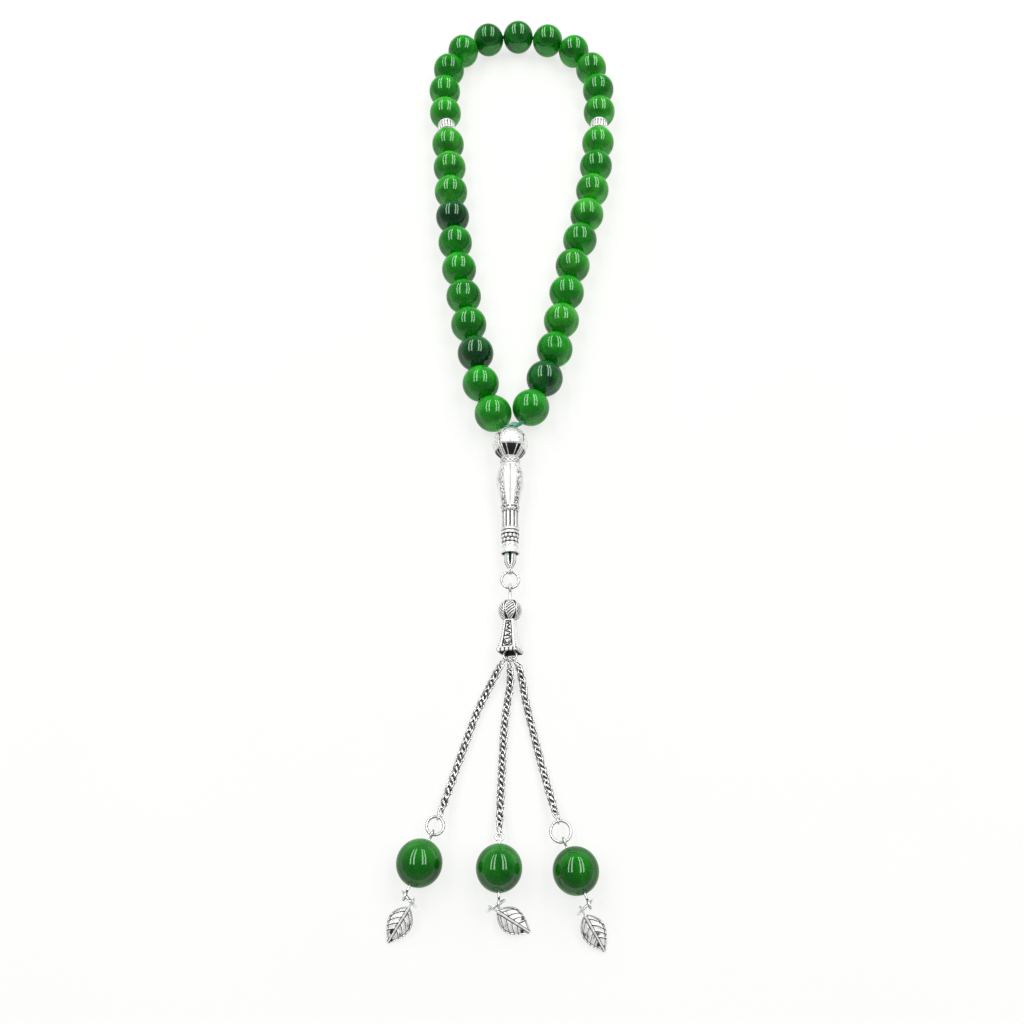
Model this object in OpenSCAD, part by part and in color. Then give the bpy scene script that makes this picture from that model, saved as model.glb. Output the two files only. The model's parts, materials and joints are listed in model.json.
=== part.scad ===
// Misbaha: a string of 33 prayer beads lying flat, with its leader and its
// three-chain tassel. The leader's axis points down the -Y side of the loop.
// Every length is in millimetres and every angle in degrees.

/* [Beads] */
// Diameter of every bead, in the loop and on the tassel
bead_d = 10; // [8:0.5:12]
// Free space between neighbours on the string
bead_gap = 0.1; // [0.05:0.05:0.3]

/* [String] */
// Diameter of the stringing cord
cord_d = 1.2; // [0.8:0.1:1.4]
// Radial play of a hole round the cord
cord_play = 0.09; // [0.05:0.01:0.1]
// Diameter of the knot that ends the cord
knot_d = 2.1; // [1.9:0.1:2.2]
// Length of the knot
knot_len = 1.6; // [1.2:0.1:1.8]

/* [Spacer discs] */
// Diameter of a spacer disc
spacer_d = 5.4; // [4.4:0.2:6.4]
// Length of a spacer disc along the string
spacer_len = 3.6; // [2.6:0.2:4.6]
// Diameter of the grooves between its ribs
spacer_groove_d = 0.7; // [0.4:0.1:0.8]
// Length of the plain rim at each end
spacer_rim = 0.5; // [0.3:0.1:0.7]
// Number of ribs
spacer_ribs = 16; // [12:1:20]

/* [Leader ball] */
// Diameter of the leader's ball
ball_d = 9.4; // [8.4:0.2:10.4]
// Length of the ball between its flat ends
ball_len = 8.9; // [7.7:0.1:9.1]
// Depth of the recessed panels in its lower half
ball_panel_depth = 0.35; // [0.2:0.05:0.5]
// Number of petals round the ball, each with three recessed panels under it
ball_petals = 4; // [3:1:5]

/* [Leader body] */
// Play between two pieces that turn on each other end to end
end_play = 0.1; // [0.05:0.05:0.3]
// Diameter of the beaded collar under the ball
collar_d = 5.2; // [4.6:0.2:6]
// Length of the collar
collar_len = 1.6; // [1:0.1:1.8]
// Largest diameter of the pear-shaped grip
pear_d = 7.1; // [6.4:0.1:8]
// Length of the grip
pear_len = 12.8; // [10:0.2:15]
// Diameter of the fluted stem under the grip
stem_d = 4.3; // [4:0.1:4.8]
// Length of the stem
stem_len = 4.8; // [3:0.2:7]
// Diameter of the two rings and the band under the stem
band_d = 4.7; // [4.4:0.1:5.2]
// Length of the rings and the band together
band_len = 4; // [3:0.2:5]
// Diameter of the bell at the lower end
bell_d = 4.9; // [4.4:0.1:5.6]
// Length of the bell
bell_len = 2.8; // [2:0.1:3.6]
// Depth of the hollow in the bell's mouth
bell_hollow = 1; // [0.6:0.1:1.4]

/* [Bead tip] */
// Outer diameter of the two-cup tip that holds the knot
tip_d = 3; // [2.9:0.1:3.6]
// Length of the tip's cups
tip_len = 5; // [4.2:0.1:5.8]
// Wall of the tip
tip_wall = 0.28; // [0.2:0.02:0.32]
// Width of the tip's hook
hook_w = 1; // [0.6:0.1:1.2]

/* [Jump rings] */
// Wire of the jump rings
ring_wire = 0.6; // [0.4:0.05:0.7]
// Outer diameter of the ring above the tassel
tassel_ring_d = 4.9; // [4.4:0.1:6]
// Outer diameter of the ring on the left chain
left_ring_d = 4.4; // [4.2:0.1:6]
// Outer diameter of the ring on the right chain
right_ring_d = 5.1; // [4.2:0.1:6]
// Outer diameter of the ring above each leaf
leaf_ring_d = 4.9; // [4.2:0.1:5.4]

/* [Pins and loops] */
// Wire of the pins' loops and shanks
pin_wire = 0.5; // [0.4:0.05:0.6]
// Wire of the tassel pin's shank
shank_d = 0.7; // [0.6:0.05:0.8]
// Play of a loop round the wire that it holds
loop_play = 0.25; // [0.15:0.05:0.35]
// Outer diameter of the loop that holds the three chains
chain_eye_d = 3.6; // [3.4:0.1:3.9]
// Bare length of the tassel pin above its ball
neck_len = 2.2; // [1:0.1:3.4]
// Bare length of a pendant pin above its bead
pin_neck = 0.6; // [0.2:0.1:1.2]
// Bare length of a pendant pin below its bead
low_neck = 1.2; // [0.1:0.1:1.6]
// Upward slope of a pendant pin, away from its chain
pin_slope = 15; // [10:1:20]

/* [Knot ball and cap] */
// Diameter of the knot-patterned ball
knot_ball_d = 5.7; // [5:0.1:6.4]
// Length of the ball between its flat ends
knot_ball_len = 4.8; // [4.2:0.1:5.4]
// Play of the ball and the cap on the pin
shank_play = 0.09; // [0.05:0.01:0.1]
// Width of the cap at its top
cap_top_w = 2.6; // [2.2:0.1:3.2]
// Width of the cap at its mouth
cap_mouth_w = 5.2; // [4.8:0.1:5.6]
// Turn of the cap on the pin, from lying on one side
cap_turn = 20; // [0:1:25]
// Length of the cap
cap_len = 8.2; // [7:0.2:11]
// Wall of the cap
cap_wall = 0.45; // [0.35:0.05:0.6]
// Length of the wider rim at the cap's mouth
cap_rim = 0.9; // [0.6:0.1:1.4]

/* [Chains] */
// Thickness of a chain
chain_d = 1.9; // [1.5:0.1:2]
// Wire of a chain's end links
link_wire = 0.45; // [0.35:0.05:0.5]

/* [Leaves] */
// Length of a leaf's blade
leaf_len = 8.6; // [6:0.2:9]
// Width of the blade
leaf_w = 5.2; // [3.6:0.1:5.6]
// Thickness of the blade
leaf_t = 0.6; // [0.5:0.1:0.9]
// Diameter of the midrib and the stalk
rib_d = 0.6; // [0.5:0.05:0.8]
// Height of a leaf's tip above the table
leaf_tip_z = 0.5; // [0.4:0.1:1]

/* [Hidden] */
$fn = 48;
eps = 0.02;
cord_sides = 8;
n_beads = 33;
bead_names = [for (i = [1 : n_beads]) str("bead_", i < 10 ? "0" : "", i)];
sides = ["left", "middle", "right"];

bead_green = [0.06, 0.42, 0.12];
cord_teal = [0.10, 0.55, 0.32];
silver = [0.80, 0.80, 0.79];

bead_r = bead_d / 2;
cord_r = cord_d / 2;
cord_bore_d = cord_d + 2 * cord_play;

function heading_dir(a) = [cos(a), sin(a), 0];
function unit(v) = v / norm(v);
function sum_to(v, i) = i < 0 ? 0 : v[i] + sum_to(v, i - 1);

// ---- The loop: each piece's heading on the string, from the left end of the
// string round to the right end. A spacer follows the 11th and the 22nd bead.
loop_heading = [
    126, 94, 104, 100, 99, 99, 97, 95, 94, 94, 95, 96,
    95, 91, 77, 50, 17, -2, -18, -44, -70, -88, -93, -94,
    -95, -97, -100, -103, -105, -103, -100, -100, -104, -110, -115];
spacer_places = [11, 23];
function is_spacer(i) = i == spacer_places[0] || i == spacer_places[1];
// The rims of two bores come nearest where the string is straight, and the
// beads' round sides where it turns by more than the bore is wide
rim_turn = asin(cord_bore_d / bead_d);
function half_room(i, turn = 0) = bead_gap / 2
    + (is_spacer(i) ? spacer_len / 2 : bead_r * cos(max(0, rim_turn - abs(turn) / 2)));
last_piece = len(loop_heading) - 1;

// The axes of two neighbours cross at a corner of the string between them
function reach(i, turn) = half_room(i, turn) / cos(turn / 2);
function turn_after(i) = loop_heading[i + 1] - loop_heading[i];
function loop_step(i) =
    reach(i, turn_after(i)) * heading_dir(loop_heading[i])
    + reach(i + 1, turn_after(i)) * heading_dir(loop_heading[i + 1]);

// The first bead lies beside the leader's ball, a bead's radius off its axis
first_bead = [-0.46 * bead_d, ball_len / 2 + 0.485 * bead_d, bead_r];
function loop_places(i = 0, p = first_bead, done = []) =
    i == last_piece ? concat(done, [p])
    : loop_places(i + 1, p + loop_step(i), concat(done, [p]));
loop_at = loop_places();

string_corners = concat(
    [loop_at[0] - (half_room(0, 90) + 0.1) * heading_dir(loop_heading[0])],
    [for (i = [0 : last_piece - 1])
        loop_at[i] + reach(i, turn_after(i)) * heading_dir(loop_heading[i])],
    [loop_at[last_piece] + half_room(last_piece, 90) * heading_dir(loop_heading[last_piece])]);

// ---- The leader lies on its ball and on the rim of its bell
leader_len = end_play + collar_len + pear_len + stem_len + band_len + bell_len;
bell_end = ball_len / 2 + leader_len;
leader_slope = asin((ball_d - bell_d) / 2 / bell_end);
leader_heading = -90;
ball_at = [0, 0, ball_d / 2];
function leader_dir() = [0, -cos(leader_slope), -sin(leader_slope)];
function on_leader(s) = ball_at + s * leader_dir();
strand_x = cord_r + cord_play / 2;
twin_bore_d = 2 * (strand_x + cord_r) + 2 * cord_play;

// ---- The tassel's ring, pin, ball and cap lie level, on the ball or on the
// lowest corner of the cap
cap_reach = cap_mouth_w / 2 * (cos(cap_turn) + sin(cap_turn));
line_z = max(knot_ball_d / 2, cap_reach + 0.02);
tip_at = on_leader(bell_end - bell_hollow / 2);
hook_hole_r = ring_wire / 2 + loop_play;
hook_r = hook_hole_r + tip_wall;
tip_reach = tip_len + hook_r - tip_wall / 2;
tip_slope = asin((line_z - tip_at[2]) / tip_reach);
hook_at = tip_at + tip_reach * [0, -cos(tip_slope), sin(tip_slope)];
knot_start = tip_wall + 0.35;

function ring_line_r(outer_d) = (outer_d - ring_wire) / 2;
tassel_ring_at = hook_at - [0, ring_line_r(tassel_ring_d), 0];
pin_loop_r = ring_wire / 2 + loop_play + pin_wire / 2;
shank_loop_r = ring_wire / 2 + loop_play + shank_d / 2;
pin_eye_at = tassel_ring_at - [0, ring_line_r(tassel_ring_d), 0];
knot_ball_start = shank_loop_r + shank_d / 2 + neck_len;
cap_start = knot_ball_start + knot_ball_len + end_play;
chain_eye_r = (chain_eye_d - ring_wire) / 2;
chain_eye_x = cap_start + cap_len + 0.3;
chain_eye_at = pin_eye_at - [0, chain_eye_x, 0];

// ---- The chains. Routes are measured from the middle of the chain eye, on
// the table's plane; the third number is the height of the chain's centre.
link_r = ring_wire / 2 + 0.08 + link_wire / 2;
link_heading = [-130, -90, -54];
// From the first crossing of a pin's loop to the middle of its bead
function pin_step(i) = bead_r + pin_neck + (i == 1 ? 2 : 1) * pin_loop_r + pin_wire / 2;
function ring_z(i) = bead_r - pin_step(i) * sin(pin_slope);
lay_z = chain_d / 2 + 0.02;
chain_route = [
    [[-2.3, -2.7, 2.8], [-3.9, -5.6, 1.8], [-6.1, -9.8, lay_z], [-7.9, -13.8, lay_z],
     [-9.8, -19.2, lay_z], [-11.8, -25, lay_z], [-13.6, -30.5, 1.7], [-15.15, -35.25, 2.7]],
    [[0, -3.5, 2.7], [0.1, -6.5, 1.7], [-0.5, -10.5, lay_z], [-1.1, -15, lay_z],
     [-1.5, -20.4, lay_z], [-1.8, -26.6, lay_z], [-2.1, -33.4, 1.5], [-2.3, -38.5, 2.6]],
    [[2.1, -2.9, 2.8], [3, -6.4, 1.7], [3.7, -10.6, lay_z], [5.3, -17.5, lay_z],
     [7, -24.4, lay_z], [8.6, -30.5, 1.7], [10.1, -36, 2.8]]];
chain_end_heading = [-110, -90, -75];
// From the last point of a route to the loop of its end link
link_step = 1.9;

function chain_last(i) = chain_route[i][len(chain_route[i]) - 1];
function end_link_at(i) =
    [chain_eye_at[0] + chain_last(i)[0], chain_eye_at[1] + chain_last(i)[1], ring_z(i)]
    + link_step * heading_dir(chain_end_heading[i]);

// ---- The pendants: the left and right hang on a jump ring, the middle one
// straight on the end link, and each pin's shank carries its bead.
pendant_heading = [-111, -90, -70];
leaf_ring_heading = [-45, -150, -140];
leaf_heading = [-123, -30, -59];
// Lean of the line from a pin's lower loop to the leaf, across its ring
ring_slant = 22;
pendant_ring_r = [ring_line_r(left_ring_d), 0, ring_line_r(right_ring_d)];
function pendant_ring_at(i) =
    end_link_at(i) + pendant_ring_r[i] * heading_dir(chain_end_heading[i]);
function pin_loop_at(i) =
    pendant_ring_at(i) + pendant_ring_r[i] * heading_dir(pendant_heading[i]);
function tilted_dir(heading, slope) =
    cos(slope) * heading_dir(heading) + [0, 0, sin(slope)];
function pendant_bead_at(i) =
    pin_loop_at(i) + pin_step(i) * tilted_dir(pendant_heading[i], pin_slope);
low_step = bead_r + low_neck + pin_loop_r + pin_wire / 2 + 0.05;
function low_loop_at(i) =
    pendant_bead_at(i) + low_step * tilted_dir(pendant_heading[i], pin_slope);
leaf_ring_r = ring_line_r(leaf_ring_d);
function leaf_ring_at(i) =
    low_loop_at(i) + leaf_ring_r * tilted_dir(leaf_ring_heading[i], ring_slant - 90);
function leaf_at(i) =
    low_loop_at(i) + 2 * leaf_ring_r * tilted_dir(leaf_ring_heading[i], ring_slant - 90);
eyelet_r = ring_wire / 2 + loop_play + 0.05 + link_wire / 2;
blade_start = eyelet_r + 0.35;
leaf_reach = blade_start + leaf_len;
leaf_slope = asin((leaf_at(0)[2] - leaf_tip_z) / leaf_reach);
function leaf_tip(i) = leaf_at(i) + leaf_reach * tilted_dir(leaf_heading[i], -leaf_slope);

// ---- The origin is under the middle of the whole object
loop_x = [for (p = loop_at) p[0]];
loop_y = [for (p = loop_at) p[1]];
tip_x = [for (i = [0 : 2]) leaf_tip(i)[0]];
tip_y = [for (i = [0 : 2]) leaf_tip(i)[1]];
tassel_x = [for (i = [0 : 2]) pendant_bead_at(i)[0]];
box_x = [min(concat([min(loop_x) - bead_r, min(tassel_x) - bead_r], tip_x)),
         max(concat([max(loop_x) + bead_r, max(tassel_x) + bead_r], tip_x))];
box_y = [min(tip_y), max(loop_y) + bead_r];
middle = [-(box_x[0] + box_x[1]) / 2, -(box_y[0] + box_y[1]) / 2, 0];

// ---- Shapes
module place(p, heading, slope = 0)
    translate(p + middle) rotate([0, 0, heading]) rotate([0, -slope, 0]) children();

// A turned shape about local +X from [along, radius] points
module turned(points)
    rotate([0, 90, 0]) rotate_extrude() polygon([for (p = points) [p[1], p[0]]]);

module rod(x, d, h) translate([x, 0, 0]) rotate([0, 90, 0]) cylinder(d = d, h = h);

module flat_ring(line_r, wire)
    rotate_extrude() translate([line_r, 0]) circle(d = wire);

module upright_ring(line_r, wire) rotate([90, 0, 0]) flat_ring(line_r, wire);

// A tube through points, mitred at each corner, with a radius for each point
module swept(points, radii, sides) {
    last = len(points) - 1;
    legs = [for (i = [0 : last - 1]) unit(points[i + 1] - points[i])];
    rings = [for (i = [0 : last])
        let (before = legs[max(i - 1, 0)], after = legs[min(i, last - 1)],
             ahead = unit(before + after),
             stretch = 1 / (ahead * before),
             side = unit(cross(ahead, [0, 0, 1])),
             up = cross(side, ahead))
        for (k = [0 : sides - 1])
            let (a = (k + 0.5) * 360 / sides)
            points[i] + radii[i] * (stretch * cos(a) * side + sin(a) * up)];
    walls = [for (i = [0 : last - 1], k = [0 : sides - 1])
        let (n = (k + 1) % sides, a = i * sides, b = a + sides)
        for (t = [[a + k, a + n, b + k], [a + n, b + n, b + k]]) t];
    start = [for (k = [1 : sides - 2]) [0, k + 1, k]];
    finish = [for (k = [1 : sides - 2]) [last * sides, last * sides + k, last * sides + k + 1]];
    polyhedron(rings, concat(walls, start, finish));
}

// ---- The string
function strand(side) = [
    tip_at + [side * strand_x, 0, 0]
        + (knot_start + knot_len / 2) * [0, -cos(tip_slope), sin(tip_slope)],
    tip_at + [side * strand_x, 0, 0],
    on_leader(-ball_len / 2 - cord_r) + [side * strand_x, 0, 0]];
function reversed(v) = [for (i = [len(v) - 1 : -1 : 0]) v[i]];
string_points = concat(strand(-1), string_corners, reversed(strand(1)));
string_leg = [for (i = [1 : len(string_points) - 1])
    norm(string_points[i] - string_points[i - 1])];
echo(string_length = sum_to(string_leg, len(string_leg) - 1));

module stringing_cord() color(cord_teal) {
    translate(middle)
        swept(string_points, [for (p = string_points) cord_r], cord_sides);
    place(tip_at, leader_heading, tip_slope) rod(knot_start, knot_d, knot_len);
}

// ---- Beads and spacers
module round_bead(bore_d) color(bead_green)
    difference() {
        rotate([0, 90, 0]) sphere(d = bead_d);
        rod(-bead_d, bore_d, 2 * bead_d);
    }

module loop_bead(i) {
    k = i - 1 + (i > spacer_places[0] ? 1 : 0) + (i > spacer_places[1] - 1 ? 1 : 0);
    place(loop_at[k], loop_heading[k]) round_bead(cord_bore_d);
}

module spacer(k) color(silver) place(loop_at[k], loop_heading[k])
    difference() {
        rod(-spacer_len / 2, spacer_d, spacer_len);
        rod(-spacer_len, cord_bore_d, 2 * spacer_len);
        for (i = [0 : spacer_ribs - 1])
            rotate([i * 360 / spacer_ribs, 0, 0])
                translate([0, 0, spacer_d / 2 + spacer_groove_d * 0.2])
                    rod(spacer_rim - spacer_len / 2, spacer_groove_d,
                        spacer_len - 2 * spacer_rim);
    }

// ---- The leader
module imame_ball() color(silver) place(ball_at, leader_heading, -leader_slope)
    difference() {
        intersection() {
            rotate([0, 90, 0]) sphere(d = ball_d);
            rod(-ball_len / 2, 2 * ball_d, ball_len);
        }
        rod(-ball_len, twin_bore_d, 2 * ball_len);
        for (i = [0 : ball_petals - 1], side = [-1 : 1])
            rotate([5 + (i + 0.3 * side) * 360 / ball_petals, 0, 0])
                ball_panel();
    }

// One panel: a small plane recess between two ribs, on the ball's lower half
module ball_panel() {
    panel_w = 0.7 * ball_d / ball_petals;
    rotate([0, 36, 0])
        translate([-0.15 * ball_len, -panel_w / 2, 0.487 * ball_d - ball_panel_depth])
            cube([0.3 * ball_len, panel_w, ball_d]);
}

pear_shape = [[0, 0.62], [0.08, 0.8], [0.18, 0.94], [0.3, 1], [0.42, 0.98],
              [0.56, 0.88], [0.7, 0.76], [0.84, 0.67], [1, 0.63]];

module imame_body() color(silver)
    place(on_leader(ball_len / 2 + end_play), leader_heading, -leader_slope) {
        pear_x = collar_len;
        stem_x = pear_x + pear_len;
        band_x = stem_x + stem_len;
        bell_x = band_x + band_len;
        end_x = bell_x + bell_len;
        ring_w = band_len / 6;
        waist = 0.83 * band_d / 2;
        groove = 0.92 * band_d / 2;
        turned(concat(
            [[0, twin_bore_d / 2], [0, 0.4 * collar_d], [collar_len * 0.25, collar_d / 2],
             [collar_len * 0.75, collar_d / 2]],
            [for (p = pear_shape)
                [pear_x + p[0] * pear_len, max(p[1] * pear_d / 2, stem_d / 2)]],
            [[band_x, stem_d / 2], [band_x, band_d / 2], [band_x + ring_w, band_d / 2],
             [band_x + ring_w, waist], [band_x + 1.5 * ring_w, waist],
             [band_x + 1.5 * ring_w, band_d / 2], [band_x + 2.5 * ring_w, band_d / 2],
             [band_x + 3 * ring_w, groove], [bell_x - ring_w, groove],
             [bell_x, waist], [bell_x + 0.4 * bell_len, 0.89 * band_d / 2],
             [bell_x + 0.8 * bell_len, bell_d / 2], [end_x, bell_d / 2],
             [end_x, 0.44 * bell_d], [end_x - bell_hollow, tip_d / 2 + 0.1],
             [end_x - bell_hollow, twin_bore_d / 2]]));
    }

// ---- The bead tip: two cups round the knot, and the hook below them
module bead_tip() color(silver) place(tip_at, leader_heading, tip_slope) {
    r = tip_d / 2;
    w = tip_wall;
    difference() {
        turned([[0, strand_x + cord_r + cord_play], [0, 0.9 * r], [0.18 * tip_len, r],
                [0.55 * tip_len, r], [0.85 * tip_len, 0.55 * r], [tip_len, 0.3 * r],
                [tip_len, 0], [tip_len - w, 0], [0.85 * tip_len, 0.55 * r - w],
                [0.55 * tip_len, r - w], [0.18 * tip_len, r - w], [w, 0.9 * r - w / 2],
                [w, strand_x + cord_r + cord_play]]);
        // The open seam between the cups, which narrows towards the hook
        rotate([0, 0, 0]) linear_extrude(height = tip_d)
            polygon([[-1, -0.3 * r], [0.5 * tip_len, -0.3 * r], [0.9 * tip_len, -0.05],
                     [0.9 * tip_len, 0.05], [0.5 * tip_len, 0.3 * r], [-1, 0.3 * r]]);
    }
    translate([tip_reach, 0, 0]) rotate([0, -tip_slope, 0]) rotate([90, 0, 0])
        difference() {
            cylinder(r = hook_r, h = hook_w, center = true);
            cylinder(r = hook_hole_r, h = 2 * hook_w, center = true);
        }
}

// ---- The tassel
module tassel_ring() color(silver) place(tassel_ring_at, leader_heading)
    flat_ring(ring_line_r(tassel_ring_d), ring_wire);

module tassel_pin() color(silver) place(pin_eye_at, leader_heading) {
    upright_ring(shank_loop_r, shank_d);
    rod(shank_loop_r, shank_d, chain_eye_x - chain_eye_r - shank_loop_r);
    translate([chain_eye_x, 0, 0]) flat_ring(chain_eye_r, ring_wire);
}

module knot_ball() color(silver) place(pin_eye_at, leader_heading)
    difference() {
        translate([knot_ball_start + knot_ball_len / 2, 0, 0]) intersection() {
            rotate([0, 90, 0]) sphere(d = knot_ball_d);
            rod(-knot_ball_len / 2, 2 * knot_ball_d, knot_ball_len);
        }
        rod(0, shank_d + 2 * shank_play, chain_eye_x);
    }

// A square pyramid's frustum about local +X, with its faces level and upright
module square_taper(x, w1, w2, h)
    translate([x, 0, 0]) rotate([0, 90, 0]) rotate([0, 0, 45])
        cylinder(d1 = w1 * sqrt(2), d2 = w2 * sqrt(2), h = h, $fn = 4);

module tassel_cap() color(silver) place(pin_eye_at, leader_heading)
    rotate([-cap_turn, 0, 0]) difference() {
        union() {
            square_taper(cap_start, cap_top_w, cap_mouth_w - 0.4, cap_len - cap_rim);
            square_taper(cap_start + cap_len - cap_rim, cap_mouth_w, cap_mouth_w, cap_rim);
        }
        square_taper(cap_start + 1, cap_top_w - cap_wall, cap_mouth_w - 2 * cap_wall, cap_len - 1 + eps);
        rod(0, shank_d + 2 * shank_play, chain_eye_x);
    }

// ---- The chains: a plain tube for the plaited run, and a round link at each end
module chain(i) color(silver) {
    thin = link_wire / 2 + 0.1;
    far_dir = heading_dir(link_heading[i]);
    link_at = chain_eye_at + chain_eye_r * far_dir;
    start = link_at + link_r * far_dir;
    finish = end_link_at(i) - link_r * heading_dir(chain_end_heading[i]);
    run = [for (p = chain_route[i]) [chain_eye_at[0] + p[0], chain_eye_at[1] + p[1], p[2]]];
    translate(middle)
        swept(concat([start], run, [finish]),
              concat([thin], [for (p = run) chain_d / 2], [thin]), 12);
    place(link_at, link_heading[i]) upright_ring(link_r, link_wire);
    place(end_link_at(i), chain_end_heading[i]) upright_ring(link_r, link_wire);
}

module chain_ring(i) color(silver) place(pendant_ring_at(i), 0)
    flat_ring(pendant_ring_r[i], ring_wire);

// ---- The pendants
module pendant_pin(i) color(silver) {
    upper_step = bead_r + pin_neck + pin_wire / 2 + pin_loop_r;
    place(pendant_bead_at(i), pendant_heading[i], pin_slope) {
        rod(pin_loop_r - upper_step, pin_wire, upper_step + low_step - 2 * pin_loop_r);
        if (i == 1) translate([-upper_step, 0, 0]) flat_ring(pin_loop_r, pin_wire);
        else translate([-upper_step, 0, 0]) upright_ring(pin_loop_r, pin_wire);
        translate([low_step, 0, 0]) upright_ring(pin_loop_r, pin_wire);
    }
}

module pendant_bead(i)
    place(pendant_bead_at(i), pendant_heading[i], pin_slope)
        round_bead(pin_wire + 2 * shank_play);

module leaf_ring(i) color(silver)
    place(leaf_ring_at(i), leaf_ring_heading[i]) upright_ring(leaf_ring_r, ring_wire);

module leaf(i) color(silver) place(leaf_at(i), leaf_heading[i], -leaf_slope) {
    upright_ring(eyelet_r, link_wire);
    rod(eyelet_r, rib_d, leaf_reach - eyelet_r - 0.12 * leaf_len);
    edge = [for (t = [0 : 0.1 : 1.001])
        [blade_start + t * leaf_len, leaf_w / 2 * sin(180 * pow(min(t, 1), 0.8))]];
    translate([0, 0, -leaf_t / 2]) linear_extrude(height = leaf_t)
        polygon(concat(edge, [for (i = [len(edge) - 2 : -1 : 1]) [edge[i][0], -edge[i][1]]]));
}

stringing_cord();
for (i = [1 : n_beads])
    loop_bead(i);
spacer(spacer_places[0]);  // spacer_left
spacer(spacer_places[1]);  // spacer_right
imame_ball();
imame_body();
bead_tip();
tassel_ring();
tassel_pin();
knot_ball();
tassel_cap();
for (i = [0 : 2]) {
    chain(i);
    if (pendant_ring_r[i] > 0) chain_ring(i);
    pendant_pin(i);
    pendant_bead(i);
    leaf_ring(i);
    leaf(i);
}
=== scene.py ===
import json
import math
import random

import bpy
from mathutils import Matrix, Vector, noise


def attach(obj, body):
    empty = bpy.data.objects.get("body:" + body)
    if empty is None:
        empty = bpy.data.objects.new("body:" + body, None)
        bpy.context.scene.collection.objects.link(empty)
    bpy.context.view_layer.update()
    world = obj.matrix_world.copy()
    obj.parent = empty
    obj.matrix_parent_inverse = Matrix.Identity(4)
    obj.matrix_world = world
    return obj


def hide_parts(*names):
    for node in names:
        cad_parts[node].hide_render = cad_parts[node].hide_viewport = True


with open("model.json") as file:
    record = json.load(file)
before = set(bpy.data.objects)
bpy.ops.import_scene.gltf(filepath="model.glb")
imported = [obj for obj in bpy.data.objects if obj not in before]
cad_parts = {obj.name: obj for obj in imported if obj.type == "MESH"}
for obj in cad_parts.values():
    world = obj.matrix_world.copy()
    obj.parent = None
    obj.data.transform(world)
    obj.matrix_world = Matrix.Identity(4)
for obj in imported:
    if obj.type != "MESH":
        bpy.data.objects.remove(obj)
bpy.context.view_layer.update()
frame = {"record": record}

MM = 0.001
BEAD_R = 5.0
UP = Vector((0, 0, 1))
JOINT = {j["name"]: j for j in frame["record"]["behaviour"]["joints"]}
SIDES = ("left", "middle", "right")


def at(joint):
    return Vector(JOINT[joint]["pos_m"])


def along(joint):
    return Vector(JOINT[joint]["axis"]).normalized()


def heading(a, slope=0.0):
    a, s = math.radians(a), math.radians(slope)
    return Vector((math.cos(s) * math.cos(a), math.cos(s) * math.sin(a), math.sin(s)))


# The middle of the leader's ball, on the table's plane
START = Vector((at("imame_ball_spin").x, at("imame_ball_spin").y, 0.0))

# ---------------------------------------------------------------- camera
LENS_MM, SENSOR_MM = 31.82, 36.0
CAMERA_FROM_BALL = Vector((0.00047, -0.11855, 0.2129))
CAMERA_DOWN_DEG = 64.62

cam = bpy.data.objects.new("photo_camera", bpy.data.cameras.new("photo_camera"))
bpy.context.collection.objects.link(cam)
cam.data.sensor_width = SENSOR_MM
cam.data.lens = LENS_MM
cam.data.clip_start = 0.01
cam.location = START + CAMERA_FROM_BALL
cam.rotation_euler = (math.radians(90 - CAMERA_DOWN_DEG), 0, 0)
bpy.context.scene.camera = cam


# ---------------------------------------------------------------- materials
def new_material(name):
    m = bpy.data.materials.new(name)
    m.use_nodes = True
    t = m.node_tree
    bsdf = t.nodes["Principled BSDF"]
    return m, t.nodes, t.links, bsdf


def ramp(nodes, stops):
    n = nodes.new("ShaderNodeValToRGB")
    while len(n.color_ramp.elements) < len(stops):
        n.color_ramp.elements.new(0.5)
    for e, (p, c) in zip(n.color_ramp.elements, stops):
        e.position = p
        e.color = (*c, 1.0) if len(c) == 3 else c
    return n


def noise_node(nodes, links, scale, detail=3.0, rough=0.5):
    tc = nodes.new("ShaderNodeTexCoord")
    n = nodes.new("ShaderNodeTexNoise")
    n.inputs["Scale"].default_value = scale
    n.inputs["Detail"].default_value = detail
    n.inputs["Roughness"].default_value = rough
    links.new(tc.outputs["Object"], n.inputs["Vector"])
    return n


def map_range(nodes, from_min, from_max, to_min=0.0, to_max=1.0, smooth=False):
    n = nodes.new("ShaderNodeMapRange")
    if smooth:
        n.interpolation_type = "SMOOTHSTEP"
    for key, value in (("From Min", from_min), ("From Max", from_max), ("To Min", to_min), ("To Max", to_max)):
        n.inputs[key].default_value = value
    return n


def add_bump(nodes, links, height, strength, distance, bsdf):
    b = nodes.new("ShaderNodeBump")
    b.inputs["Strength"].default_value = strength
    b.inputs["Distance"].default_value = distance
    links.new(height.outputs["Fac"], b.inputs["Height"])
    links.new(b.outputs["Normal"], bsdf.inputs["Normal"])


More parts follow.
